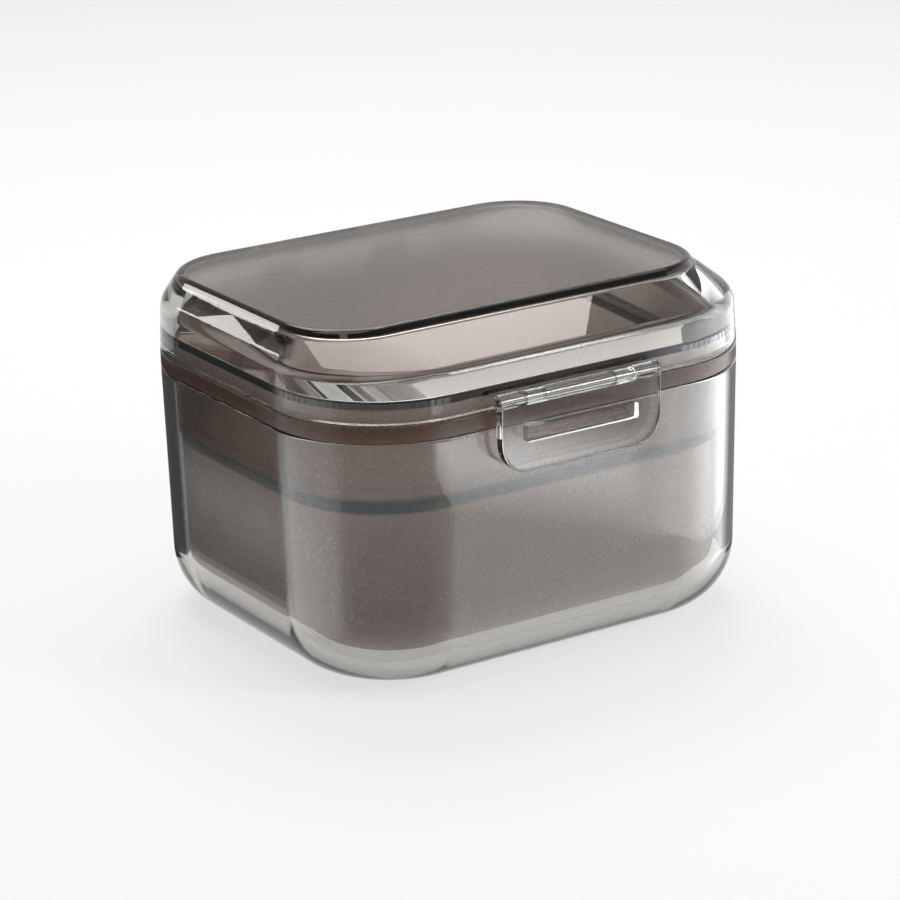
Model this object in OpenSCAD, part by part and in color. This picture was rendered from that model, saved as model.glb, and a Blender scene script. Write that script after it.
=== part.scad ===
// Retainer case: a clear tub, a strainer basket hung from the tub's rim, and a hinged lid with a front latch.
// The origin is the middle of the flat base, +Z is up, the latch faces -Y and the lid's hinge is at +Y.

/* [Case] */
// Outside width at the rim
case_w = 90; // [80:1:110]
// Outside depth at the rim
case_d = 77.6; // [68:0.2:96]
// Outside corner radius at the rim
corner_r = 21.6; // [18:0.2:26]

/* [Outer tub] */
// Height of the tub from its base to its rim
tub_h = 45.4; // [38:0.2:60]
// How far the tub's walls lean in between the rim and the base fillet
tub_lean = 0.8; // [0.2:0.1:1.2]
// Wall thickness of the tub
tub_wall = 2; // [1.6:0.1:2.4]
// Floor thickness of the tub
tub_floor = 2.6; // [2:0.1:3.2]
// Outside fillet radius round the base
base_fillet_r = 11.5; // [9:0.5:13]

/* [Strainer basket] */
// Thickness of the flange that shows as a band under the lid
flange_t = 3; // [2.4:0.1:4]
// Wall thickness of the basket
basket_wall = 1.6; // [1.2:0.1:2]
// Floor thickness of the basket
basket_floor = 1.8; // [1.4:0.1:2.4]
// Free gap between the basket's collar and the tub's wall
collar_gap = 0.5; // [0.3:0.1:0.8]
// Depth of the collar below the rim
collar_h = 10.5; // [6:0.5:14]
// Inward step of the basket's wall under the collar
collar_step = 1.1; // [0.6:0.1:1.5]
// Height over which the collar's foot slopes in to the wall
collar_slope_h = 3; // [2:0.5:5]
// How far the basket's wall leans in between the collar and the floor fillet
basket_lean = 0.7; // [0.2:0.1:1]
// Outside fillet radius round the basket's floor
basket_fillet_r = 8; // [6:0.5:9]
// Height of the free space under the basket's floor
sump_h = 2.2; // [1.5:0.1:4]
// Height of the lip that stands on the flange, inside the lid
lip_h = 2.3; // [1.5:0.1:3]
// Thickness of the lip
lip_t = 1.4; // [1:0.1:1.6]
// Gap between the lip and the lid's skirt
lip_gap = 0.6; // [0.4:0.1:0.8]
// Diameter of a drain hole
drain_d = 3; // [2:0.5:4]
// Spacing of the drain holes
drain_pitch = 7; // [6:0.5:10]

/* [Lid] */
// Free gap between the flange and the lid
lid_gap = 0.15; // [0.1:0.05:0.3]
// Thickness of the lid's skirt
skirt_t = 2; // [1.6:0.1:2.4]
// Height of the lid's upright wall
lid_wall_h = 8.35; // [7:0.05:12]
// How far the lid's upright wall leans in
lid_lean = 0.4; // [0.1:0.1:0.8]
// Height of the rounded edge between the wall and the shoulder
edge_h = 0.6; // [0.4:0.1:0.8]
// How far the rounded edge comes in
edge_in = 0.5; // [0.3:0.1:0.7]
// Height of the sloping shoulder above the upright wall
shoulder_h = 3.45; // [2.5:0.05:5]
// Width of the raised top at its foot
top_w = 83.1; // [72:0.1:84]
// Depth of the raised top at its foot
top_d = 60.2; // [50:0.2:64]
// Corner radius of the raised top at its foot
top_r = 14; // [10:0.5:18]
// How far the raised top lies behind the middle of the case
top_back = 3.7; // [2:0.1:4.5]
// Height of the raised top
top_h = 1.55; // [1:0.05:2.5]
// How far the sides of the raised top lean in
top_lean = 1.2; // [0.6:0.1:1.6]
// Width of the narrow step round the foot of the raised top
top_step = 0.15; // [0.1:0.05:0.3]
// Thickness of the lid's top
lid_top_t = 2.2; // [1.8:0.1:3]

/* [Lid seal] */
// Height of the seal ring
seal_h = 1; // [0.8:0.1:1.4]
// Width of the seal ring
seal_w = 1.5; // [1.2:0.1:2]
// Free gap between the seal ring and the lip under it
seal_gap = 0.2; // [0.15:0.05:0.3]

/* [Rear hinge] */
// Distance of the hinge pin behind the rear wall
hinge_out = 3; // [2.9:0.1:4]
// Outside radius of a hinge knuckle
knuckle_r = 2.5; // [2.1:0.1:2.5]
// Diameter of the hinge pin
hinge_pin_d = 2; // [1.5:0.1:2.5]
// Length of the whole hinge
hinge_w = 30; // [24:1:36]
// Length of each of the lid's two knuckles
lid_knuckle_w = 7; // [5:0.5:9]
// Free gap between neighbouring knuckles
knuckle_gap = 0.3; // [0.2:0.05:0.5]
// Height of the webs that carry the knuckles
knuckle_web_h = 6.5; // [5:0.5:8]
// How far the lid swings open, in degrees
lid_swing = 105; // [90:5:120]
// Free gap between the stop heel and the tub's wall when the lid is fully open
stop_gap = 0.2; // [0.15:0.05:0.3]

/* [Latch] */
// Width of the latch plate
latch_w = 32.3; // [28:0.1:40]
// Thickness of the latch plate
latch_t = 2; // [1.6:0.1:2.2]
// Length of the latch plate below its pin
latch_drop = 12.6; // [11:0.2:16]
// Corner radius at the bottom of the latch plate
latch_corner_r = 5.6; // [3:0.2:7]
// Height of the latch pin above the tub's rim
latch_pin_up = 4.65; // [4.4:0.05:6]
// Outside radius of the latch's barrel
barrel_r = 1.4; // [1.3:0.05:1.8]
// Free gap between the barrel and the lid's wall
barrel_gap = 0.2; // [0.15:0.05:0.4]
// Diameter of the latch pin
latch_pin_d = 1.1; // [0.9:0.1:1.2]
// Width of the window in the latch plate
window_w = 22.6; // [18:0.2:24]
// Height of the window in the latch plate
window_h = 2.7; // [2.2:0.1:3.5]
// Radius of the lugs on the lid that hold the latch pin
lug_r = 1; // [0.9:0.05:1]
// Width of each lug
lug_w = 3.6; // [2.5:0.1:5]
// Distance of each lug from the middle of the latch
lug_x = 9; // [6:0.5:11]
// Free gap round a lug inside the latch's barrel
lug_gap = 0.12; // [0.1:0.02:0.2]
// How far the latch swings open, in degrees
latch_swing = 90; // [60:5:95]
// Width of the catch on the tub
catch_w = 20.4; // [14:0.2:21]
// Height of the catch on the tub
catch_h = 1.5; // [1:0.1:2]
// Free gap between the catch and the latch plate
catch_gap = 0.3; // [0.25:0.05:0.5]

/* [Hidden] */
$fn = 96;

// Smooth facets of the lofted lid
loft_fn = 48;
// Thickness of the thin slices that a loft runs between
slice_t = 0.02;
// How far one shape runs into the next so that they join
bite = 0.4;
// How far a cut runs past the face it opens
past = 1;
// Radial clearance of a pin in its bores
pin_clear = 0.05;

// Half distances between the corner centres
core_x = case_w / 2 - corner_r;
core_y = case_d / 2 - corner_r;

// Heights of the main levels
sump_top_z = tub_floor + sump_h;
collar_foot_z = tub_h - collar_h;
flange_top_z = tub_h + flange_t;
lip_top_z = flange_top_z + lip_h;
lid_z = flange_top_z + lid_gap;
seal_z = lip_top_z + seal_gap;
ledge_z = seal_z + seal_h;
lid_wall_top_z = lid_z + lid_wall_h;
top_foot_z = lid_wall_top_z + shoulder_h;
lid_top_z = top_foot_z + top_h;
lid_under_z = lid_top_z - lid_top_t;

// Distances of the walls from the corner centres
collar_out = corner_r - tub_wall - collar_gap;
collar_in = collar_out - basket_wall;
basket_out = collar_out - collar_step;
basket_foot = basket_out - basket_lean;
lip_out = corner_r - skirt_t - lip_gap;
lip_in = lip_out - lip_t;
ledge_in = corner_r - skirt_t - seal_w;

// Rear hinge
wall_back = case_d / 2;
hinge_y = wall_back + hinge_out;
hinge_z = tub_h + flange_t / 2;
tub_knuckle_w = hinge_w - 2 * lid_knuckle_w - 2 * knuckle_gap;
// The webs and the stop heel end this far from the pin's axis, inside their knuckle
web_r = knuckle_r - bite;
// The stop heel meets the tub's wall this far below the level of the pin, in degrees
stop_dip = 35;
heel_angle = stop_dip + lid_swing - 180;
heel_r = (hinge_out - stop_gap) / cos(stop_dip);
heel_spread = 30;

// Latch
wall_front = -case_d / 2;
latch_pin_y = wall_front - barrel_gap - barrel_r;
latch_pin_z = tub_h + latch_pin_up;
plate_front = latch_pin_y - barrel_r;
plate_back = plate_front + latch_t;
catch_out = wall_front - plate_back - catch_gap;
pocket_r = lug_r + lug_gap;
pocket_w = lug_w + 2 * lug_gap;
latch_pin_l = latch_w - 2 * lug_gap;

// Sweeps a flat section round a rectangle with round corners.
// The section's x is the distance out from the corner centres and its y is the height.
module sweep_round() {
    for (side = [0 : 3]) {
        along = side % 2 == 0 ? core_y : core_x;
        out = side % 2 == 0 ? core_x : core_y;
        rotate(90 * side) translate([out, along, 0]) {
            rotate_extrude(angle = 90) children();
            rotate([90, 0, 0]) linear_extrude(2 * along) children();
        }
    }
}

// Flat section of a solid cup from the corner centres out: leaning wall, fillet and flat foot
module cup_section(top_out, foot_out, foot_z, top_z, fillet_r) {
    polygon([[0, foot_z + fillet_r], [foot_out, foot_z + fillet_r], [top_out, top_z], [0, top_z]]);
    translate([0, foot_z]) square([foot_out - fillet_r, fillet_r]);
    intersection() {
        translate([foot_out - fillet_r, foot_z + fillet_r]) circle(fillet_r);
        translate([foot_out - fillet_r, foot_z]) square(fillet_r);
    }
}

// Flat section of a plain ring
module ring_section(inner, outer, low_z, high_z) {
    translate([inner, low_z]) square([outer - inner, high_z - low_z]);
}

// Slab between the corner centres, which closes the floor of a swept cup
module core_slab(low_z, high_z) {
    translate([-core_x, -core_y, low_z]) cube([2 * core_x, 2 * core_y, high_z - low_z]);
}

// Thin slice with round corners, for a loft to run from or to
module slice(w, d, r, y, z) {
    for (sx = [-1, 1], sy = [-1, 1])
        translate([sx * (w / 2 - r), y + sy * (d / 2 - r), z])
            cylinder(h = slice_t, r = r, $fn = loft_fn);
}

// Slice of the case's own outline, drawn in by an inset
module case_slice(inset, z) {
    slice(case_w - 2 * inset, case_d - 2 * inset, corner_r - inset, 0, z);
}

// Slice of the raised top's outline, drawn in by an inset
module top_slice(inset, z) {
    slice(top_w - 2 * inset, top_d - 2 * inset, top_r - inset, top_back, z);
}

// Runs a flat Y-Z shape along X, centred on the case's middle plane
module along_x(length) {
    translate([-length / 2, 0, 0]) rotate([90, 0, 90]) linear_extrude(length) children();
}

// Round bar along X
module bar_x(length, r, y, z) {
    along_x(length) translate([y, z]) circle(r);
}

// Clear outer tub with the catch in front and the hinge's middle knuckle behind
module outer_tub() {
    inner_top = corner_r - tub_wall;
    inner_fillet_r = base_fillet_r - tub_wall;
    color([0.86, 0.86, 0.85, 0.4]) difference() {
        union() {
            sweep_round() difference() {
                cup_section(corner_r, corner_r - tub_lean, 0, tub_h, base_fillet_r);
                cup_section(inner_top, inner_top - tub_lean, tub_floor, tub_h + past, inner_fillet_r);
            }
            core_slab(0, tub_floor);
            tub_knuckle();
            tub_catch();
        }
        bar_x(hinge_w + 2 * past, hinge_pin_d / 2 + pin_clear, hinge_y, hinge_z);
    }
}

// Knuckle on the tub with the web that carries it
module tub_knuckle() {
    root_y = wall_back - tub_wall / 2;
    shelf_z = tub_h - lid_gap;
    web_end = web_r * sqrt(0.5);
    bar_x(tub_knuckle_w, knuckle_r, hinge_y, hinge_z);
    along_x(tub_knuckle_w) polygon([
        [root_y, shelf_z - knuckle_web_h],
        [root_y, shelf_z],
        [hinge_y - knuckle_r, shelf_z],
        [hinge_y - knuckle_r, hinge_z],
        [hinge_y, hinge_z],
        [hinge_y + web_end, hinge_z - web_end]
    ]);
}

// Catch on the front of the tub, seen in the latch's window
module tub_catch() {
    root_y = wall_front + tub_wall / 2;
    high_z = tub_h - window_h / 2 + catch_h / 2;
    low_z = high_z - catch_h;
    along_x(catch_w) polygon([
        [root_y, low_z],
        [root_y, high_z],
        [wall_front, high_z],
        [wall_front - catch_out, high_z - catch_out / 2],
        [wall_front - catch_out, low_z]
    ]);
}

// Frosted basket: flange, lip, collar, stepped wall and a floor of drain holes
module strainer_basket() {
    inner_foot = basket_foot - basket_wall;
    inner_fillet_r = basket_fillet_r - basket_wall;
    floor_z = sump_top_z + basket_floor;
    color([0.45, 0.42, 0.39]) difference() {
        union() {
            sweep_round() difference() {
                union() {
                    cup_section(basket_out, basket_foot, sump_top_z, collar_foot_z + bite, basket_fillet_r);
                    polygon([
                        [0, collar_foot_z - collar_slope_h],
                        [basket_foot, collar_foot_z - collar_slope_h],
                        [collar_out, collar_foot_z],
                        [0, collar_foot_z]
                    ]);
                    ring_section(0, collar_out, collar_foot_z, tub_h + bite);
                    ring_section(0, corner_r, tub_h, flange_top_z);
                    ring_section(0, lip_out, flange_top_z - bite, lip_top_z);
                }
                cup_section(
                    basket_out - basket_wall, inner_foot, floor_z,
                    collar_foot_z + basket_wall + bite, inner_fillet_r
                );
                ring_section(0, min(collar_in, lip_in), collar_foot_z + basket_wall, lip_top_z + past);
            }
            core_slab(sump_top_z, floor_z);
        }
        drain_holes(floor_z);
    }
}

// Grid of drain holes through the flat of the basket's floor
module drain_holes(floor_z) {
    flat_r = basket_foot - basket_fillet_r;
    half_x = core_x + flat_r - drain_d / 2;
    half_y = core_y + flat_r - drain_d / 2;
    count_x = floor(half_x / drain_pitch);
    count_y = floor(half_y / drain_pitch);
    for (ix = [-count_x : count_x], iy = [-count_y : count_y]) {
        x = ix * drain_pitch;
        y = iy * drain_pitch;
        over = norm([max(abs(x) - core_x, 0), max(abs(y) - core_y, 0)]);
        if (over <= flat_r - drain_d / 2)
            translate([x, y, sump_top_z - past])
                cylinder(h = floor_z - sump_top_z + 2 * past, d = drain_d);
    }
}

// Clear lid: upright wall, lofted shoulder and raised top, hollow underneath
module lid_shell() {
    wall_in = lid_lean + skirt_t + seal_w;
    hollow_z = ledge_z + bite;
    color([0.86, 0.85, 0.84, 0.4]) difference() {
        union() {
            sweep_round() polygon([
                [0, lid_z],
                [corner_r, lid_z],
                [corner_r - lid_lean, lid_wall_top_z],
                [0, lid_wall_top_z]
            ]);
            core_slab(lid_z, lid_wall_top_z);
            hull() {
                case_slice(lid_lean, lid_wall_top_z - bite);
                case_slice(lid_lean + edge_in, lid_wall_top_z + edge_h);
                top_slice(-top_step, top_foot_z - slice_t);
            }
            hull() {
                top_slice(0, top_foot_z - bite);
                top_slice(top_lean, lid_top_z - slice_t);
            }
            lid_knuckles();
            latch_lugs();
        }
        sweep_round() {
            ring_section(0, corner_r - skirt_t, lid_z - past, ledge_z);
            ring_section(0, ledge_in, lid_z - past, hollow_z);
        }
        core_slab(lid_z - past, hollow_z);
        hull() {
            case_slice(wall_in, ledge_z);
            top_slice(lid_top_t, lid_under_z - slice_t);
        }
        bar_x(hinge_w + 2 * past, hinge_pin_d / 2 + pin_clear, hinge_y, hinge_z);
        bar_x(latch_w, latch_pin_d / 2 + pin_clear, latch_pin_y, latch_pin_z);
    }
}

// The lid's two knuckles, one at each end of the hinge, each with a heel that stops the open lid
module lid_knuckles() {
    root_y = wall_back - skirt_t / 2;
    web_end = web_r * sqrt(0.5);
    for (sx = [-1, 1]) translate([sx * (hinge_w - lid_knuckle_w) / 2, 0, 0]) {
        bar_x(lid_knuckle_w, knuckle_r, hinge_y, hinge_z);
        along_x(lid_knuckle_w) polygon([
            [root_y, lid_z],
            [root_y, lid_z + knuckle_web_h],
            [hinge_y + web_end, hinge_z + web_end],
            [hinge_y, hinge_z],
            [hinge_y - knuckle_r, hinge_z],
            [hinge_y - knuckle_r, lid_z]
        ]);
        along_x(lid_knuckle_w) translate([hinge_y, hinge_z]) polygon([
            [0, 0],
            web_r * [cos(heel_angle - heel_spread), sin(heel_angle - heel_spread)],
            heel_r * [cos(heel_angle), sin(heel_angle)],
            web_r * [cos(heel_angle + heel_spread), sin(heel_angle + heel_spread)]
        ]);
    }
}

// Two lugs on the lid's front wall that hold the latch pin
module latch_lugs() {
    root_y = wall_front + skirt_t / 2;
    for (sx = [-1, 1]) translate([sx * lug_x, 0, 0]) {
        bar_x(lug_w, lug_r, latch_pin_y, latch_pin_z);
        along_x(lug_w) polygon([
            [latch_pin_y, latch_pin_z],
            [latch_pin_y, latch_pin_z - lug_r],
            [root_y, latch_pin_z - lug_r],
            [root_y, latch_pin_z]
        ]);
    }
}

// Soft seal ring under the lid's ledge
module lid_seal() {
    color([0.16, 0.15, 0.15])
        sweep_round() ring_section(ledge_in, corner_r - skirt_t, seal_z, ledge_z);
}

// Steel pin of the rear hinge
module hinge_pin() {
    color("silver") bar_x(hinge_w, hinge_pin_d / 2, hinge_y, hinge_z);
}

// Clear latch plate: barrel on top, round lower corners and the window over the catch
module latch_plate() {
    color([0.9, 0.89, 0.88, 0.4]) difference() {
        union() {
            bar_x(latch_w, barrel_r, latch_pin_y, latch_pin_z);
            translate([0, plate_back, 0]) rotate([90, 0, 0]) linear_extrude(latch_t) plate_outline();
        }
        translate([-window_w / 2, plate_front - past, tub_h - window_h])
            cube([window_w, latch_t + 2 * past, window_h]);
        bar_x(latch_w + 2 * past, latch_pin_d / 2 + pin_clear, latch_pin_y, latch_pin_z);
        for (sx = [-1, 1]) translate([sx * lug_x, 0, 0]) lug_pocket();
    }
}

// Front outline of the latch plate below its pin
module plate_outline() {
    half_w = latch_w / 2;
    foot_z = latch_pin_z - latch_drop;
    translate([-half_w, foot_z + latch_corner_r]) square([latch_w, latch_drop - latch_corner_r]);
    translate([latch_corner_r - half_w, foot_z])
        square([latch_w - 2 * latch_corner_r, latch_corner_r + bite]);
    for (sx = [-1, 1])
        translate([sx * (half_w - latch_corner_r), foot_z + latch_corner_r]) circle(latch_corner_r);
}

// Room in the barrel for a lug and for its web as the latch swings
module lug_pocket() {
    low_angle = -asin(lug_r / barrel_r) - 20;
    high_angle = latch_swing + 8;
    reach = 2 * barrel_r;
    steps = 6;
    bar_x(pocket_w, pocket_r, latch_pin_y, latch_pin_z);
    along_x(pocket_w) translate([latch_pin_y, latch_pin_z]) polygon(concat(
        [[0, 0]],
        [for (i = [0 : steps])
            let (a = low_angle + (high_angle - low_angle) * i / steps) reach * [cos(a), sin(a)]]
    ));
}

// Steel pin of the latch
module latch_pin() {
    color("silver") bar_x(latch_pin_l, latch_pin_d / 2, latch_pin_y, latch_pin_z);
}

outer_tub();
strainer_basket();
lid_shell();
lid_seal();
hinge_pin();
latch_plate();
latch_pin();
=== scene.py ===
"""Retainer case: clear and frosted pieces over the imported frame, with their finishes and a plain white stage."""

import math
from collections import namedtuple

import bmesh
import bpy
from bpy.props import FloatProperty, FloatVectorProperty, PointerProperty
from mathutils import Matrix, Vector


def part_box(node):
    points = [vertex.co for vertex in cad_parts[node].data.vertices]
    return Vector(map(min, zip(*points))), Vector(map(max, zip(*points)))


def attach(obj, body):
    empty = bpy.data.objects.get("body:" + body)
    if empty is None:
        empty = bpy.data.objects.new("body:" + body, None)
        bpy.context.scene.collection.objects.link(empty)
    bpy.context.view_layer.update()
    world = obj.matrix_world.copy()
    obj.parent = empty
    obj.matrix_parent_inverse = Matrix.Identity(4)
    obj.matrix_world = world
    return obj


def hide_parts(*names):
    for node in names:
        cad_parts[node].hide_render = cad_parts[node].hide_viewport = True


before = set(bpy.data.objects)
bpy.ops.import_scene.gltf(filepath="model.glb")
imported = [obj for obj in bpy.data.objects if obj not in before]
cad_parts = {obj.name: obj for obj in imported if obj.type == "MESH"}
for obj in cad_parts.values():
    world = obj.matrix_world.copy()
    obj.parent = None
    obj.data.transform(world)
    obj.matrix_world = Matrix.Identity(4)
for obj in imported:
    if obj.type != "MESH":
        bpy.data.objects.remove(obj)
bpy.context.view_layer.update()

bl_info = {
    "name": "Retainer case",
    "version": (1, 0, 0),
    "blender": (4, 5, 0),
    "location": "View3D > Sidebar > Retainer case",
    "description": "Builds a clear retainer case with a strainer basket, a hinged lid and a front latch",
    "category": "Add Mesh",
}

MM = 0.001
IMAGE_PX = 900
SENSOR_MM = 36.0

BASKET_LOW, BASKET_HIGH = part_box("strainer_basket")
SEAL_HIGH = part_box("lid_seal")[1]
LID_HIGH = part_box("lid_shell")[1]
PLATE_LOW, PLATE_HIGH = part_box("latch_plate")
HINGE_LOW, HINGE_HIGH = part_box("hinge_pin")
LATCH_PIN_LOW, LATCH_PIN_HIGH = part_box("latch_pin")

HINGE_MID = (HINGE_LOW + HINGE_HIGH) / 2
LATCH_MID = (LATCH_PIN_LOW + LATCH_PIN_HIGH) / 2
HALF_X = BASKET_HIGH.x
HALF_Y = BASKET_HIGH.y

CORNER_SEGMENTS = 28
FILLET_SEGMENTS = 18
ROUND_SEGMENTS = 6
EDGE_SEGMENTS = 3
BAR_SEGMENTS = 48
DRAIN_SEGMENTS = 24
STACK_STEP = 50 * MM
WELD = 0.002 * MM
SHARP_ANGLE = math.radians(32)

SEAL_WIDTH = 1.5 * MM
WEB_ROOT = 1.0 * MM
# Webs and heels end inside a knuckle, at this share of its radius
KNUCKLE_CORE = 0.84
HEEL_ANGLE = math.radians(-40)
HEEL_SPREAD = math.radians(30)
# The latch is cut away round the lugs from the first angle, taken below a lug, to the second, in steps
ROOM_START = math.radians(20)
ROOM_END = math.radians(98)
ROOM_STEPS = 6

# The middle part of a noise, where most of its values lie
NOISE_SPAN = (0.3, 0.7)
FINE_GRAIN = 2600.0
TOP_GRAIN = 1800.0
SOFT_EDGE = 0.3 * MM
# Where painted shade starts up the sides of the raised top, above its foot, and where its upper face turns rough,
# below its crown
SIDES_FROM, SIDES_TO = 0.15 * MM, 0.45 * MM
CROWN_FROM, CROWN_TO = 0.16 * MM, 0.03 * MM

SKY_TINT = (0.96, 0.985, 1.0)
SKY_LEFT_TO_RIGHT = (0.35, 1.0)
SKY_LOW_TO_HIGH = (1.0, 0.25)
SKY_HIGH = 0.7
CARD_TINT = (0.95, 0.975, 1.0)
CARD_FADE = 9 * MM
FLOOR_HALF = 6.0
FLOOR_DROP = 0.05 * MM
FLOOR_WHITE = 0.65

# A rectangle with round corners: half sizes, corner radius and how far back its middle lies
Outline = namedtuple("Outline", "half_x half_y radius back")
# One ring of a shell: its outline, how far it is drawn in, its height, and how its edge is rounded
Ring = namedtuple("Ring", "outline inset z edge segments", defaults=(0.0, 0))
# A soft lamp: place, width and depth of its face, how bright the face looks beside a white of 1, tint and target
Lamp = namedtuple("Lamp", "name place width depth radiance tint target", defaults=((0.0, 0.0, 0.03),))
# A studio card: both ends of its foot, how it runs from there, and its light in steps from the foot
Card = namedtuple("Card", "name start end run levels")

LAMPS = (
    Lamp("Softbox behind", (0.1205, 0.286, 0.52), 0.39, 0.32, 4.5, (1.0, 0.93, 0.89), (-0.029, 0.014, 0.03)),
    Lamp("Softbox front", (0.33, -0.45, 0.31), 0.17, 0.17, 11.0, (0.97, 0.99, 1.0)),
    Lamp("Softbox back left", (-0.28, 0.50, 0.28), 0.07, 0.07, 7.0, (1.0, 0.98, 0.96)),
    Lamp("Softbox above", (-0.15, -0.05, 0.90), 0.60, 0.60, 1.9, (1.0, 1.0, 1.0)),
    Lamp("Softbox strip", (0.22, 0.07, 0.52), 0.16, 0.34, 0.95, (1.0, 0.97, 0.95)),
)
SIDE_LEVELS = (0.14, 0.28, 0.44, 0.54, 0.40, 0.05, 0.05, 0.08, 0.14, 0.20, 0.30, 0.30)
FRONT_RIGHT_LEVELS = (2.2, 3.2, 4.4, 4.0, 1.8, 0.6)
RIGHT_LEVELS = (3.8, 4.2, 3.8, 3.0, 2.0, 1.0)
CARDS = (
    Card("Side card", (-0.060, 0.007), (-0.060, 0.048), (0.0, 0.0, 0.06), SIDE_LEVELS),
    Card("Back card", (-0.060, 0.048), (-0.025, 0.048), (0.0, 0.0, 0.042), (0.08,)),
    Card("Strip card", (-0.060, -0.032), (-0.060, 0.004), (0.0, 0.0, 0.06), (2.0, 2.0, 1.2)),
    Card("Front card", (-0.060, -0.034), (-0.020, -0.075), (0.0, 0.0, 0.06), (0.6, 0.9, 0.9, 0.6)),
    Card("Floor card", (-0.024, -0.045), (0.019, -0.111), (0.054, 0.0, 0.0), (1.9,)),
    Card("Floor right card", (0.030, -0.045), (0.0515, -0.078), (0.05, 0.06, 0.0), (2.2,)),
    Card("Front right card", (-0.004, -0.139), (0.0455, -0.0785), (0.0, 0.0, 0.03), FRONT_RIGHT_LEVELS),
    Card("Right card", (0.0455, -0.0785), (0.136, 0.032), (0.0, 0.0, 0.10), RIGHT_LEVELS),
    Card("Right edge card", (0.060, -0.030), (0.060, 0.010), (0.0, 0.0, 0.042), (0.3,)),
)


def length(name, millimetres, description):
    """A size in metres whose default is given in millimetres."""
    return FloatProperty(
        name=name, description=description, default=millimetres * MM, min=0.0, precision=5, unit="LENGTH"
    )


def colour(name, value, description):
    """A colour that a user may change."""
    return FloatVectorProperty(
        name=name, description=description, default=value, size=3, min=0.0, max=1.0, subtype="COLOR"
    )


class RetainerTubSizes(bpy.types.PropertyGroup):
    """Sizes of the outer tub."""

    corner: length("Corner radius", 21.6, "Outside corner radius at the rim")
    wall: length("Wall", 2.0, "Thickness of the tub's wall")
    floor: length("Floor", 2.6, "Thickness of the tub's floor")
    lean: length("Lean", 0.8, "How far the wall leans in towards the base")
    fillet: length("Base fillet", 11.5, "Outside fillet round the base")
    rim_edge: length("Rim edge", 0.45, "Rounding of the rim's edges")
    catch_width: length("Catch width", 20.4, "Width of the catch under the latch")
    catch_height: length("Catch height", 1.5, "Height of the catch")
    catch_gap: length("Catch gap", 0.3, "Free gap between the catch and the latch")


class RetainerBasketSizes(bpy.types.PropertyGroup):
    """Sizes of the strainer basket."""

    flange: length("Flange", 3.0, "Thickness of the flange that shows as a band")
    wall: length("Wall", 1.6, "Thickness of the basket's wall")
    floor: length("Floor", 1.8, "Thickness of the basket's floor")
    gap: length("Collar gap", 0.5, "Gap between the collar and the tub")
    collar: length("Collar depth", 10.5, "Depth of the collar below the rim")
    step: length("Step", 1.1, "Inward step under the collar")
    slope: length("Slope", 2.6, "Height over which the collar's foot slopes in")
    lean: length("Lean", 0.7, "How far the wall leans in towards the floor")
    fillet: length("Floor fillet", 8.0, "Outside fillet round the floor")
    lip: length("Lip", 1.4, "Thickness of the lip inside the lid")
    lip_gap: length("Lip gap", 0.6, "Gap between the lip and the lid's skirt")
    flange_edge: length("Flange edge", 0.35, "Rounding of the flange's edges")
    step_edge: length("Step edge", 0.5, "Rounding of the step")
    seat: length("Seat", 0.08, "Air between the flange and the tub's rim")
    drain: length("Drain hole", 3.0, "Diameter of a drain hole")
    pitch: length("Drain pitch", 7.0, "Spacing of the drain holes")


class RetainerLidSizes(bpy.types.PropertyGroup):
    """Sizes of the lid."""

    gap: length("Parting gap", 0.15, "Gap between the flange and the lid")
    skirt: length("Skirt", 2.0, "Thickness of the lid's skirt")
    wall: length("Wall height", 8.35, "Height of the upright wall")
    lean: length("Lean", 0.4, "How far the upright wall leans in")
    wall_edge: length("Wall edge", 1.5, "Rounding between the wall and the shoulder")
    rim_edge: length("Rim edge", 0.35, "Rounding of the rim's edges")
    shoulder: length("Shoulder height", 3.45, "Height of the sloping shoulder")
    top_width: length("Top width", 83.1, "Width of the raised top at its foot")
    top_depth: length("Top depth", 60.2, "Depth of the raised top at its foot")
    top_corner: length("Top corner", 14.0, "Corner radius of the raised top")
    top_back: length("Top offset", 3.7, "How far the raised top lies behind the middle")
    top_lean: length("Top lean", 1.2, "How far the raised top's sides lean in")
    top_edge: length("Top edge", 0.7, "Rounding of the raised top's upper edge")
    top_foot: length("Top foot", 0.3, "Rounding at the foot of the raised top")
    thickness: length("Thickness", 2.2, "Thickness of the lid's top")
    knuckle: length("Knuckle radius", 2.5, "Outside radius of a hinge knuckle")
    knuckle_width: length("Knuckle width", 7.0, "Length of each of the lid's knuckles")
    knuckle_gap: length("Knuckle gap", 0.3, "Gap between neighbouring knuckles")
    web: length("Web height", 6.5, "Height of the webs that carry the knuckles")
    heel: length("Heel", 3.42, "Reach of the heel that stops the open lid")
    lug: length("Lug radius", 1.0, "Radius of the lugs that hold the latch pin")
    lug_width: length("Lug width", 3.6, "Width of each lug")
    lug_place: length("Lug place", 9.0, "Distance of each lug from the middle")


class RetainerLatchSizes(bpy.types.PropertyGroup):
    """Sizes of the latch."""

    thickness: length("Thickness", 2.0, "Thickness of the latch plate")
    corner: length("Corner radius", 5.6, "Corner radius at the foot of the plate")
    window_width: length("Window width", 22.6, "Width of the window")
    window_height: length("Window height", 2.7, "Height of the window")
    edge: length("Edge", 0.4, "Rounding of the plate's edges")
    play: length("Play", 0.12, "Gap round a lug inside the barrel")
    bore_play: length("Bore play", 0.05, "Gap round a pin in its bore")


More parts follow.
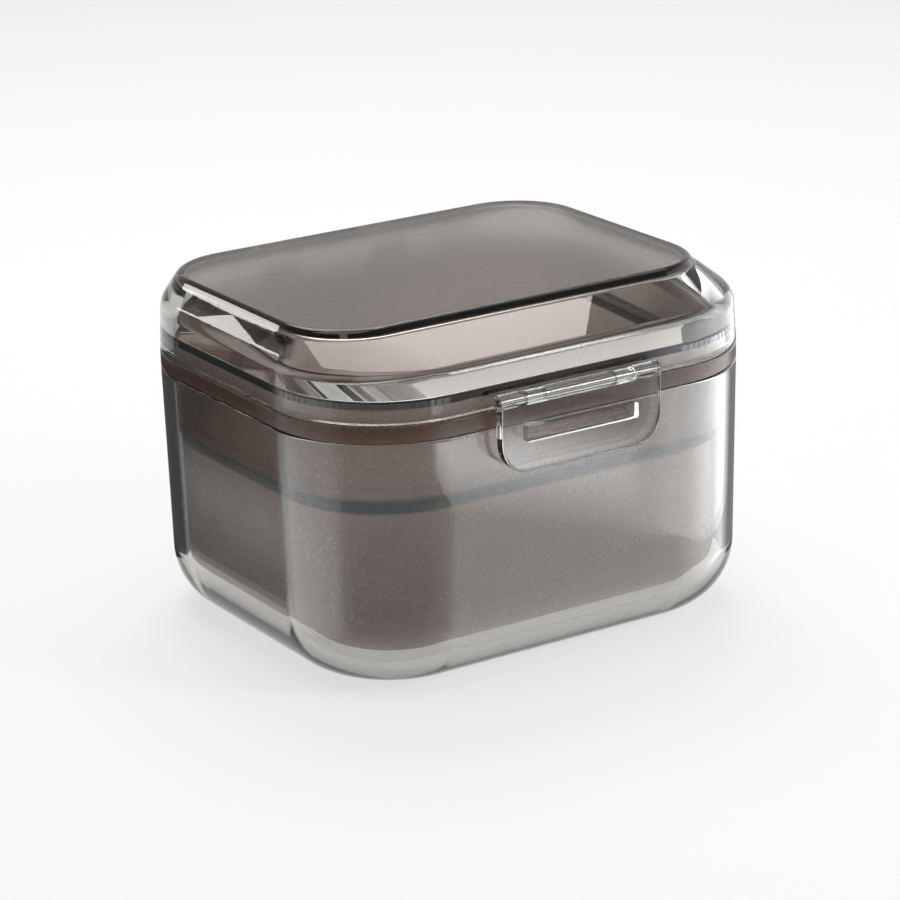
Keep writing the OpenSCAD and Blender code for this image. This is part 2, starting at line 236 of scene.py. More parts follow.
class RetainerColours(bpy.types.PropertyGroup):
    """Colours of the plastics, the seal and the pins."""

    clear: colour("Clear plastic", (0.98, 0.98, 0.98), "Surface tint of the clear plastic")
    smoke: colour("Smoke", (0.70, 0.69, 0.67), "What the clear plastic lets through")
    basket: colour("Basket", (0.50, 0.41, 0.352), "Frosted smoke plastic of the basket")
    basket_pale: colour("Basket, pale", (0.59, 0.505, 0.445), "Paler grain in the basket's plastic")
    band: colour("Band", (0.16, 0.078, 0.035), "Thick flange of the basket, which shows as a band")
    # Painted shade: near black on the collar's sloping foot, for the shade under the collar
    crease_shade: colour("Crease shade", (0.012, 0.011, 0.011), "Sloping foot of the collar, in its own shade")
    frost: colour("Frost", (0.43, 0.352, 0.312), "Frosted texture on the raised top")
    # Frosted sides of the raised top, darkened with painted shade
    frost_side_shade: colour("Frost, sides", (0.14, 0.115, 0.105), "Frosted sides of the raised top")
    seal: colour("Seal", (0.035, 0.032, 0.03), "Soft dark seal")
    steel: colour("Steel", (0.22, 0.21, 0.2), "Dark drawn steel of the pins")
    floor: colour("Floor", (0.96, 0.96, 0.96), "Pale floor")


class RetainerCase(bpy.types.PropertyGroup):
    """All the sizes and colours of the retainer case."""

    tub: PointerProperty(type=RetainerTubSizes)
    basket: PointerProperty(type=RetainerBasketSizes)
    lid: PointerProperty(type=RetainerLidSizes)
    latch: PointerProperty(type=RetainerLatchSizes)
    colours: PointerProperty(type=RetainerColours)


def settings():
    """The case's settings in the current scene."""
    return bpy.context.scene.retainer_case


def case_outline():
    """Outline of the case at its rims."""
    return Outline(HALF_X, HALF_Y, settings().tub.corner, 0.0)


def top_outline():
    """Outline of the raised top at its foot."""
    lid = settings().lid
    return Outline(lid.top_width / 2, lid.top_depth / 2, lid.top_corner, lid.top_back)


def rim_z():
    """Height of the tub's rim, which lies half a flange below the hinge."""
    return HINGE_MID.z - settings().basket.flange / 2


def flange_z():
    """Height of the flange's upper face."""
    return HINGE_MID.z + settings().basket.flange / 2


def ring_edges(bm, ring, z):
    """Draws one ring at a height as a rectangle whose corners a vertex bevel rounds, and returns its edges."""
    outline = ring.outline
    half_x = outline.half_x - ring.inset
    half_y = outline.half_y - ring.inset
    signs = ((1, 1), (-1, 1), (-1, -1), (1, -1))
    corners = [bm.verts.new((sx * half_x, outline.back + sy * half_y, z)) for sx, sy in signs]
    for here, there in zip(corners, corners[1:] + corners[:1]):
        bm.edges.new((here, there))
    rounded = bmesh.ops.bevel(
        bm,
        geom=corners,
        offset=outline.radius - ring.inset,
        offset_type="OFFSET",
        segments=CORNER_SEGMENTS,
        profile=0.5,
        affect="VERTICES",
        clamp_overlap=False,
        material=-1,
    )
    return list({edge for vert in rounded["verts"] for edge in vert.link_edges})


def round_edges(bm, edges, radius, segments):
    """Rounds edges with a circular bevel."""
    bmesh.ops.bevel(
        bm,
        geom=edges,
        offset=radius,
        offset_type="OFFSET",
        segments=segments,
        profile=0.5,
        affect="EDGES",
        clamp_overlap=False,
        material=-1,
    )


def shell(rings):
    """A closed shell: rings bridged one to the next, both ends filled, and each ring's edge rounded.

    The rings are bridged in a tall stack, where each pair lies well apart, and then go to their own heights."""
    bm = bmesh.new()
    loops = [ring_edges(bm, ring, index * STACK_STEP) for index, ring in enumerate(rings)]
    for low, high in zip(loops, loops[1:]):
        bmesh.ops.bridge_loops(bm, edges=low + high)
    for ring, loop in zip(rings, loops):
        for vert in {vert for edge in loop for vert in edge.verts}:
            vert.co.z = ring.z
    for end in (loops[0], loops[-1]):
        bmesh.ops.contextual_create(bm, geom=end)
    bmesh.ops.recalc_face_normals(bm, faces=bm.faces)
    for ring, loop in zip(rings, loops):
        if ring.segments:
            round_edges(bm, loop, ring.edge, ring.segments)
    bmesh.ops.recalc_face_normals(bm, faces=bm.faces)
    return bm


def bar_x(middle_x, width, radius, middle, edge=0.0):
    """A round bar along X, with its ends' edges rounded."""
    bm = bmesh.new()
    turn = Matrix.Rotation(math.radians(90), 4, "Y")
    place = Matrix.Translation((middle_x, middle.y, middle.z))
    bmesh.ops.create_cone(
        bm,
        cap_ends=True,
        segments=BAR_SEGMENTS,
        radius1=radius,
        radius2=radius,
        depth=width,
        matrix=place @ turn,
    )
    if edge:
        ends = [e for e in bm.edges if abs(e.verts[0].co.x - e.verts[1].co.x) < width / 2]
        round_edges(bm, ends, edge, EDGE_SEGMENTS)
    return bm


def prism_x(middle_x, width, points):
    """A flat Y-Z shape run along X."""
    bm = bmesh.new()
    start = middle_x - width / 2
    face = bm.faces.new([bm.verts.new((start, y, z)) for y, z in points])
    swept = bmesh.ops.extrude_face_region(bm, geom=[face], use_keep_orig=True)
    moved = [item for item in swept["geom"] if isinstance(item, bmesh.types.BMVert)]
    bmesh.ops.translate(bm, verts=moved, vec=(width, 0.0, 0.0))
    bmesh.ops.recalc_face_normals(bm, faces=bm.faces)
    return bm


def block(low, high):
    """A box between two corners."""
    bm = bmesh.new()
    low, high = Vector(low), Vector(high)
    size = high - low
    place = Matrix.Translation((low + high) / 2) @ Matrix.Diagonal((*size, 1.0))
    bmesh.ops.create_cube(bm, size=1.0, matrix=place)
    return bm


def new_object(name, bm):
    """Turns a bmesh into an object at the origin."""
    mesh = bpy.data.meshes.new(name)
    bm.to_mesh(mesh)
    bm.free()
    obj = bpy.data.objects.new(name, mesh)
    bpy.context.scene.collection.objects.link(obj)
    return obj


def combine(obj, operation, *shapes):
    """Joins closed shapes to the object, or cuts them away, and keeps the result as the object's own mesh."""
    for shape in shapes:
        tool = new_object(obj.name + "_tool", shape)
        boolean = obj.modifiers.new("Combine", "BOOLEAN")
        boolean.operation = operation
        boolean.solver = "MANIFOLD"
        boolean.object = tool
        before = len(obj.data.polygons)
        graph = bpy.context.evaluated_depsgraph_get()
        mesh = bpy.data.meshes.new_from_object(obj.evaluated_get(graph))
        if len(mesh.polygons) in (0, before):
            raise RuntimeError(f"{obj.name} did not combine")
        obj.modifiers.clear()
        obj.data = mesh
        bpy.data.objects.remove(tool)


def finish_piece(obj, body, nodes, material):
    """Smooths the piece, gives it its material, and ties it to the frame."""
    bm = bmesh.new()
    bm.from_mesh(obj.data)
    bmesh.ops.remove_doubles(bm, verts=bm.verts, dist=WELD)
    bmesh.ops.recalc_face_normals(bm, faces=bm.faces)
    bm.to_mesh(obj.data)
    bm.free()
    obj.data.shade_smooth()
    obj.data.set_sharp_from_angle(angle=SHARP_ANGLE)
    weighted = obj.modifiers.new("Weighted normals", "WEIGHTED_NORMAL")
    weighted.keep_sharp = True
    obj.data.materials.clear()
    obj.data.materials.append(material)
    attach(obj, body)
    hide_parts(*nodes)


def new_material(name):
    """A material with nodes, together with its principled shader."""
    material = bpy.data.materials.new(name)
    material.use_nodes = True
    return material, material.node_tree.nodes["Principled BSDF"]


def coordinates(tree, kind="Object"):
    """X, Y and Z of a place, as node outputs."""
    place = tree.nodes.new("ShaderNodeTexCoord")
    split = tree.nodes.new("ShaderNodeSeparateXYZ")
    tree.links.new(place.outputs[kind], split.inputs["Vector"])
    return split.outputs


def map_range(tree, source, take, give=(0.0, 1.0), curve="LINEAR"):
    """A node's output carried over from one span of values to another."""
    node = tree.nodes.new("ShaderNodeMapRange")
    node.interpolation_type = curve
    for label, value in zip(("From Min", "From Max", "To Min", "To Max"), (*take, *give)):
        node.inputs[label].default_value = value
    tree.links.new(source, node.inputs["Value"])
    return node.outputs["Result"]


def maths(tree, operation, *values):
    """A sum with one or two values, each a number or another node's output."""
    node = tree.nodes.new("ShaderNodeMath")
    node.operation = operation
    for socket, value in zip(node.inputs, values):
        if isinstance(value, bpy.types.NodeSocket):
            tree.links.new(value, socket)
        else:
            socket.default_value = value
    return node.outputs["Value"]


def lighter(tint, factor):
    """A colour raised by a factor, up to white."""
    return tuple(min(1.0, channel * factor) for channel in tint)


def grain_group():
    """Fine moulded grain and soft clouds on object coordinates, as masks between 0 and 1."""
    name = "Plastic grain"
    if name in bpy.data.node_groups:
        return bpy.data.node_groups[name]
    tree = bpy.data.node_groups.new(name, "ShaderNodeTree")
    for label, value in (("Grain per metre", 6000.0), ("Clouds per metre", 60.0)):
        socket = tree.interface.new_socket(label, in_out="INPUT", socket_type="NodeSocketFloat")
        socket.default_value = value
    for label in ("Grain", "Clouds"):
        tree.interface.new_socket(label, in_out="OUTPUT", socket_type="NodeSocketFloat")
    into = tree.nodes.new("NodeGroupInput")
    out = tree.nodes.new("NodeGroupOutput")
    place = tree.nodes.new("ShaderNodeTexCoord")
    for label, scale, detail in (("Grain", "Grain per metre", 3.0), ("Clouds", "Clouds per metre", 2.0)):
        noise = tree.nodes.new("ShaderNodeTexNoise")
        noise.inputs["Detail"].default_value = detail
        tree.links.new(place.outputs["Object"], noise.inputs["Vector"])
        tree.links.new(into.outputs[scale], noise.inputs["Scale"])
        tree.links.new(noise.outputs["Fac"], out.inputs[label])
    return tree


class Finish:
    """A material under construction: its nodes, its principled shader and its plastic grain."""

    def __init__(self, name, grain_scale, cloud_scale):
        self.material, self.shader = new_material(name)
        self.tree = self.material.node_tree
        self.grain = self.tree.nodes.new("ShaderNodeGroup")
        self.grain.node_tree = grain_group()
        self.grain.inputs["Grain per metre"].default_value = grain_scale
        self.grain.inputs["Clouds per metre"].default_value = cloud_scale

    def set(self, **values):
        """Sets numbers that are the same all over the surface on the shader's own sockets."""
        for key, value in values.items():
            self.shader.inputs[key.replace("_", " ")].default_value = value

    def link(self, source, target):
        """Joins two sockets."""
        self.tree.links.new(source, target)

    def spread(self, source, low, high):
        """Spreads a noise between two numbers."""
        return map_range(self.tree, source, NOISE_SPAN, (low, high))

    def mix_colour(self, factor, first, second):
        """A colour between two by a factor; each is a colour or another node's output."""
        node = self.tree.nodes.new("ShaderNodeMix")
        node.data_type = "RGBA"
        for name, tint in (("A", first), ("B", second)):
            if isinstance(tint, bpy.types.NodeSocket):
                self.link(tint, node.inputs[name])
            else:
                node.inputs[name].default_value = (*tint, 1.0)
        self.link(factor, node.inputs["Factor"])
        return node.outputs["Result"]

    def rise(self, low, high):
        """Mask that rises from 0 to 1 between two heights above the base."""
        return map_range(self.tree, coordinates(self.tree)["Z"], (low, high))

    def layer(self, low, high):
        """Mask that is 1 between two heights, with soft ends."""
        above_low = self.rise(low - SOFT_EDGE, low + SOFT_EDGE)
        above_high = self.rise(high - SOFT_EDGE, high + SOFT_EDGE)
        return maths(self.tree, "SUBTRACT", above_low, above_high)

    def bump(self, height, strength, distance):
        """Raises the surface by a height, over any bump already there."""
        normal = self.shader.inputs["Normal"]
        node = self.tree.nodes.new("ShaderNodeBump")
        if normal.is_linked:
            self.link(normal.links[0].from_socket, node.inputs["Normal"])
        node.inputs["Strength"].default_value = strength
        node.inputs["Distance"].default_value = distance
        self.link(height, node.inputs["Height"])
        self.link(node.outputs["Normal"], normal)

    def absorb(self, tint, density):
        """Tints what passes through the plastic."""
        node = self.tree.nodes.new("ShaderNodeVolumeAbsorption")
        node.inputs["Color"].default_value = (*tint, 1.0)
        node.inputs["Density"].default_value = density
        self.link(node.outputs["Volume"], self.tree.nodes["Material Output"].inputs["Volume"])


def clear_plastic(name, density, grain_scale=FINE_GRAIN):
    """Polished clear plastic with a faint smoke tint, which grows with the density per metre."""
    colours = settings().colours
    finish = Finish(name, grain_scale, cloud_scale=45.0)
    finish.set(Transmission_Weight=1.0, IOR=1.49, Metallic=0.0)
    clouds = finish.grain.outputs["Clouds"]
    tint = finish.mix_colour(clouds, colours.clear, lighter(colours.clear, 1.02))
    finish.link(tint, finish.shader.inputs["Base Color"])
    finish.link(finish.spread(clouds, low=0.0, high=0.03), finish.shader.inputs["Roughness"])
    finish.bump(clouds, strength=0.05, distance=0.1 * MM)
    finish.absorb(colours.smoke, density)
    return finish


def frosted_plastic(name):
    """Frosted smoke plastic, half see-through, browner in the thick flange, with painted shade on the collar's
    sloping foot.
    """
    case = settings()
    colours, basket = case.colours, case.basket
    step_z = rim_z() - basket.collar
    finish = Finish(name, FINE_GRAIN, cloud_scale=35.0)
    finish.set(Transmission_Weight=0.85, IOR=1.45, Metallic=0.0)
    grain = finish.grain.outputs["Grain"]
    tint = finish.mix_colour(finish.spread(grain, 0.0, 1.0), colours.basket, colours.basket_pale)
    tint = finish.mix_colour(finish.layer(rim_z(), flange_z()), tint, colours.band)
    # Painted shade: the collar's sloping foot is painted near black
    tint = finish.mix_colour(finish.layer(step_z - basket.slope, step_z), tint, colours.crease_shade)
    finish.link(tint, finish.shader.inputs["Base Color"])
    finish.link(finish.spread(grain, low=0.26, high=0.36), finish.shader.inputs["Roughness"])
    finish.bump(grain, strength=0.06, distance=0.05 * MM)
    return finish


def solid_finish(name, tint, roughness, metallic, grain_scale):
    """An opaque finish whose colour and gloss vary a little."""
    finish = Finish(name, grain_scale, cloud_scale=300.0)
    finish.set(Metallic=metallic)
    grain = finish.grain.outputs["Grain"]
    finish.link(finish.mix_colour(grain, tint, lighter(tint, 1.25)), finish.shader.inputs["Base Color"])
    finish.link(finish.spread(grain, roughness * 0.8, roughness * 1.2), finish.shader.inputs["Roughness"])
    return finish


class RETAINER_OT_tub(bpy.types.Operator):
    """Builds the clear outer tub with its catch and its hinge knuckle"""

    bl_idname = "retainer.tub"
    bl_label = "Outer tub"

    def execute(self, context):
        case = settings()
        tub, lid = case.tub, case.lid
        outline = case_outline()
        top = rim_z() - case.basket.seat
        tub_piece = new_object("clear_tub", shell([
            Ring(outline, tub.lean, 0.0, tub.fillet, FILLET_SEGMENTS),
            Ring(outline, 0.0, top, tub.rim_edge, EDGE_SEGMENTS),
            Ring(outline, tub.wall, top, tub.rim_edge, EDGE_SEGMENTS),
            Ring(outline, tub.wall + tub.lean, tub.floor, tub.fillet - tub.wall, FILLET_SEGMENTS),
        ]))
        pin_radius = (HINGE_HIGH.z - HINGE_LOW.z) / 2
        bore = bar_x(0.0, 2 * (HINGE_HIGH.x - HINGE_LOW.x), pin_radius + case.latch.bore_play, HINGE_MID)
        combine(tub_piece, "UNION", self.catch(tub, case.latch), *self.knuckle(lid, top))
        combine(tub_piece, "DIFFERENCE", bore)
        plastic = clear_plastic("Clear tub", density=300.0).material
        finish_piece(tub_piece, "case", ["outer_tub"], plastic)
        return {"FINISHED"}

    @staticmethod
    def catch(tub, latch):
        """Wedge on the front wall that shows in the latch's window."""
        front = -HALF_Y
        high = rim_z() - latch.window_height / 2 + tub.catch_height / 2
        low = high - tub.catch_height
        out = PLATE_LOW.y + latch.thickness + tub.catch_gap
        return prism_x(0.0, tub.catch_width, [
            (front + tub.wall / 2, low),
            (front + tub.wall / 2, high),
            (front, high),
            (out, high - (front - out) / 2),
            (out, low),
        ])

    @staticmethod
    def knuckle(lid, top):
        """Middle knuckle of the rear hinge and the web that carries it."""
        width = (HINGE_HIGH.x - HINGE_LOW.x) - 2 * (lid.knuckle_width + lid.knuckle_gap)
        end = lid.knuckle * KNUCKLE_CORE * math.sqrt(0.5)
        root = HALF_Y - WEB_ROOT
        shelf = top - lid.gap
        web = prism_x(0.0, width, [
            (root, shelf - lid.web),
            (root, shelf),
            (HINGE_MID.y - lid.knuckle, shelf),
            (HINGE_MID.y - lid.knuckle, HINGE_MID.z),
            (HINGE_MID.y, HINGE_MID.z),
            (HINGE_MID.y + end, HINGE_MID.z - end),
        ])
        return web, bar_x(0.0, width, lid.knuckle, HINGE_MID)


class RETAINER_OT_basket(bpy.types.Operator):
    """Builds the frosted strainer basket with its flange, collar, step and drain holes"""

    bl_idname = "retainer.basket"
    bl_label = "Strainer basket"

    def execute(self, context):
        case = settings()
        tub, basket, lid = case.tub, case.basket, case.lid
        outline = case_outline()
        collar = tub.wall + basket.gap
        body = collar + basket.step
        foot = body + basket.lean
        lip = lid.skirt + basket.lip_gap
        mouth = max(lip + basket.lip, collar + basket.wall)
        step_z = rim_z() - basket.collar
        under = BASKET_LOW.z
        edge, soft = basket.flange_edge, basket.step_edge
        basket_piece = new_object("frosted_basket", shell([
            Ring(outline, foot, under, basket.fillet, FILLET_SEGMENTS),
            Ring(outline, body, step_z - basket.slope, soft, EDGE_SEGMENTS),
            Ring(outline, collar, step_z, soft, EDGE_SEGMENTS),
            Ring(outline, collar, rim_z(), soft, EDGE_SEGMENTS),
            Ring(outline, 0.0, rim_z(), edge, EDGE_SEGMENTS),
            Ring(outline, 0.0, flange_z(), edge, EDGE_SEGMENTS),
            Ring(outline, lip, flange_z(), soft / 2, EDGE_SEGMENTS),
            Ring(outline, lip, BASKET_HIGH.z, edge, EDGE_SEGMENTS),
            Ring(outline, mouth, BASKET_HIGH.z, edge, EDGE_SEGMENTS),
            Ring(outline, mouth, step_z + basket.wall, soft, EDGE_SEGMENTS),
            Ring(outline, body + basket.wall, step_z + basket.wall, soft, EDGE_SEGMENTS),
            Ring(outline, foot + basket.wall, under + basket.floor, basket.fillet - basket.wall, FILLET_SEGMENTS),
        ]))
        combine(basket_piece, "DIFFERENCE", self.drains(basket, outline, foot))
        plastic = frosted_plastic("Frosted basket").material
        finish_piece(basket_piece, "case", ["strainer_basket"], plastic)
        return {"FINISHED"}

    @staticmethod
    def drains(basket, outline, foot):
        """Grid of cutters for the drain holes, on the flat of the floor."""
        core_x = outline.half_x - outline.radius
        core_y = outline.half_y - outline.radius
        flat = outline.radius - foot - basket.fillet - basket.drain / 2
        count_x = int((core_x + flat) / basket.pitch)
        count_y = int((core_y + flat) / basket.pitch)
        bm = bmesh.new()
        for ix in range(-count_x, count_x + 1):
            for iy in range(-count_y, count_y + 1):
                x, y = ix * basket.pitch, iy * basket.pitch
                if math.hypot(max(abs(x) - core_x, 0.0), max(abs(y) - core_y, 0.0)) > flat:
                    continue
                bmesh.ops.create_cone(
                    bm,
                    cap_ends=True,
                    segments=DRAIN_SEGMENTS,
                    radius1=basket.drain / 2,
                    radius2=basket.drain / 2,
                    depth=3 * basket.floor,
                    matrix=Matrix.Translation((x, y, BASKET_LOW.z + basket.floor / 2)),
                )
        return bm


class RETAINER_OT_lid(bpy.types.Operator):
    """Builds the clear lid with its sloping shoulder, raised frosted top, knuckles and latch lugs"""

    bl_idname = "retainer.lid"
    bl_label = "Lid"

    def execute(self, context):
        case = settings()
        lid, latch = case.lid, case.latch
        outline, top = case_outline(), top_outline()
        foot_z = flange_z() + lid.gap
        wall_z = foot_z + lid.wall
        ledge = SEAL_HIGH.z
        ledge_inset = HALF_X - (SEAL_HIGH.x - SEAL_WIDTH)
        lid_piece = new_object("clear_lid", shell([
            Ring(top, lid.top_lean, LID_HIGH.z, lid.top_edge, ROUND_SEGMENTS),
            Ring(top, 0.0, wall_z + lid.shoulder, lid.top_foot, EDGE_SEGMENTS),
            Ring(outline, lid.lean, wall_z, lid.wall_edge, ROUND_SEGMENTS),
            Ring(outline, 0.0, foot_z, lid.rim_edge, EDGE_SEGMENTS),
            Ring(outline, lid.skirt, foot_z, lid.rim_edge, EDGE_SEGMENTS),
            Ring(outline, lid.skirt, ledge),
            Ring(outline, ledge_inset, ledge, lid.rim_edge / 2, EDGE_SEGMENTS),
            Ring(top, lid.thickness, LID_HIGH.z - lid.thickness, lid.top_edge, ROUND_SEGMENTS),
        ]))
        hinge_radius = (HINGE_HIGH.z - HINGE_LOW.z) / 2 + latch.bore_play
        latch_radius = (LATCH_PIN_HIGH.z - LATCH_PIN_LOW.z) / 2 + latch.bore_play
        hinge_bore = bar_x(0.0, 2 * (HINGE_HIGH.x - HINGE_LOW.x), hinge_radius, HINGE_MID)
        latch_bore = bar_x(0.0, LATCH_PIN_HIGH.x - LATCH_PIN_LOW.x, latch_radius, LATCH_MID)
        combine(lid_piece, "UNION", *self.knuckles(lid, foot_z), *self.lugs(lid))
        combine(lid_piece, "DIFFERENCE", hinge_bore, latch_bore)
        finish_piece(lid_piece, "lid", ["lid_shell"], self.plastic(lid).material)
        return {"FINISHED"}

    @staticmethod
    def knuckles(lid, foot_z):
        """End knuckles of the rear hinge, each with its web and its stop heel."""
        half = (HINGE_HIGH.x - HINGE_LOW.x - lid.knuckle_width) / 2
        inner = lid.knuckle * KNUCKLE_CORE
        end = inner * math.sqrt(0.5)
        root = HALF_Y - lid.skirt / 2
        y, z = HINGE_MID.y, HINGE_MID.z
        corners = (
            (inner, HEEL_ANGLE - HEEL_SPREAD),
            (lid.heel, HEEL_ANGLE),
            (inner, HEEL_ANGLE + HEEL_SPREAD),
        )
        heel = [(y, z)] + [(y + reach * math.cos(turn), z + reach * math.sin(turn)) for reach, turn in corners]
        shapes = []
        for x in (-half, half):
            shapes.append(prism_x(x, lid.knuckle_width, [
                (root, foot_z),
                (root, foot_z + lid.web),
                (y + end, z + end),
                (y, z),
                (y - lid.knuckle, z),
                (y - lid.knuckle, foot_z),
            ]))
            shapes.append(bar_x(x, lid.knuckle_width, lid.knuckle, HINGE_MID))
            shapes.append(prism_x(x, lid.knuckle_width, heel))
        return shapes

    @staticmethod
    def lugs(lid):
        """Two lugs on the front wall that hold the latch pin."""
        root = -HALF_Y + lid.skirt / 2
        y, z = LATCH_MID.y, LATCH_MID.z
        shapes = []
        for x in (-lid.lug_place, lid.lug_place):
            shapes.append(prism_x(x, lid.lug_width, [(y, z), (y, z - lid.lug), (root, z - lid.lug), (root, z)]))
            shapes.append(bar_x(x, lid.lug_width, lid.lug, LATCH_MID))
        return shapes

    @staticmethod
    def plastic(lid):
        """Clear plastic with painted shade up the sides of the raised top, and rough only on its upper face."""
        colours = settings().colours
        finish = clear_plastic("Clear lid", density=200.0, grain_scale=TOP_GRAIN)
        foot = flange_z() + lid.gap + lid.wall + lid.shoulder
        sides = finish.rise(foot + SIDES_FROM, foot + SIDES_TO)
        crown = finish.rise(LID_HIGH.z - CROWN_FROM, LID_HIGH.z - CROWN_TO)
        grain = finish.grain.outputs["Grain"]
        rough = maths(finish.tree, "MULTIPLY", crown, finish.spread(grain, low=0.14, high=0.24))
        finish.link(rough, finish.shader.inputs["Roughness"])
        finish.bump(maths(finish.tree, "MULTIPLY", crown, grain), strength=0.35, distance=0.07 * MM)
        frost = finish.mix_colour(finish.spread(grain, 0.0, 1.0), colours.frost, lighter(colours.frost, 1.8))
        # Painted shade: above their foot, the raised top's sides take a dark frost colour
        tint = finish.mix_colour(sides, colours.clear, colours.frost_side_shade)
        finish.link(finish.mix_colour(crown, tint, frost), finish.shader.inputs["Base Color"])
        return finish


class RETAINER_OT_latch(bpy.types.Operator):
    """Builds the clear latch with its barrel, its round foot and its window"""

    bl_idname = "retainer.latch"
    bl_label = "Latch"

    def execute(self, context):
        case = settings()
        lid, latch = case.lid, case.latch
        front = PLATE_LOW.y
        back = front + latch.thickness
        bm = block((PLATE_LOW.x, front, PLATE_LOW.z), (PLATE_HIGH.x, back, LATCH_MID.z))
        foot = [edge for edge in bm.edges if all(v.co.z < PLATE_LOW.z + MM for v in edge.verts)
                and abs(edge.verts[0].co.x - edge.verts[1].co.x) < MM]
        round_edges(bm, foot, latch.corner, FILLET_SEGMENTS)
        rims = [edge for edge in bm.edges if abs(edge.verts[0].co.y - edge.verts[1].co.y) < 0.1 * MM
                and min(v.co.z for v in edge.verts) < LATCH_MID.z - MM]
        round_edges(bm, rims, latch.edge, EDGE_SEGMENTS)
        latch_piece = new_object("clear_latch", bm)
        barrel = bar_x(0.0, PLATE_HIGH.x - PLATE_LOW.x, LATCH_MID.y - front, LATCH_MID, latch.edge / 2)
        combine(latch_piece, "UNION", barrel)
        combine(latch_piece, "DIFFERENCE", self.window(latch, front, back), *self.bores(lid, latch))
        plastic = clear_plastic("Clear latch", density=220.0).material
        finish_piece(latch_piece, "latch", ["latch_plate"], plastic)
        return {"FINISHED"}

    @staticmethod
    def window(latch, front, back):
        """Cutter for the window over the catch."""
        half = latch.window_width / 2
        bm = block((-half, front - MM, rim_z() - latch.window_height), (half, back + MM, rim_z()))
        through = [edge for edge in bm.edges if abs(edge.verts[0].co.y - edge.verts[1].co.y) > MM]
        round_edges(bm, through, latch.edge, EDGE_SEGMENTS)
        return bm

    @staticmethod
    def bores(lid, latch):
        """Cutter for the pin's bore and for the room round the lugs as the latch swings."""
        barrel = LATCH_MID.y - PLATE_LOW.y
        reach = 2 * barrel
        low = -math.asin(lid.lug / barrel) - ROOM_START
        pin_radius = (LATCH_PIN_HIGH.z - LATCH_PIN_LOW.z) / 2 + latch.bore_play
        shapes = [bar_x(0.0, 2 * (PLATE_HIGH.x - PLATE_LOW.x), pin_radius, LATCH_MID)]
        room = lid.lug_width + 2 * latch.play
        turns = [low + (ROOM_END - low) * step / ROOM_STEPS for step in range(ROOM_STEPS + 1)]
        y, z = LATCH_MID.y, LATCH_MID.z
        sector = [(y, z)] + [(y + reach * math.cos(turn), z + reach * math.sin(turn)) for turn in turns]
        for x in (-lid.lug_place, lid.lug_place):
            shapes.append(bar_x(x, room, lid.lug + latch.play, LATCH_MID))
            shapes.append(prism_x(x, room, sector))
        return shapes


class RETAINER_OT_seal_and_pins(bpy.types.Operator):
    """Gives the seal ring and the two pins of the frame their finishes"""

    bl_idname = "retainer.seal_and_pins"
    bl_label = "Seal and pins"

    def execute(self, context):
        colours = settings().colours
        rubber = solid_finish("Seal rubber", colours.seal, roughness=0.55, metallic=0.0, grain_scale=2500.0)
        steel = solid_finish("Pin steel", colours.steel, roughness=0.3, metallic=1.0, grain_scale=4000.0)
        for node, finish in (("lid_seal", rubber), ("hinge_pin", steel), ("latch_pin", steel)):
            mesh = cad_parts[node].data
            mesh.materials.clear()
            mesh.materials.append(finish.material)
        return {"FINISHED"}


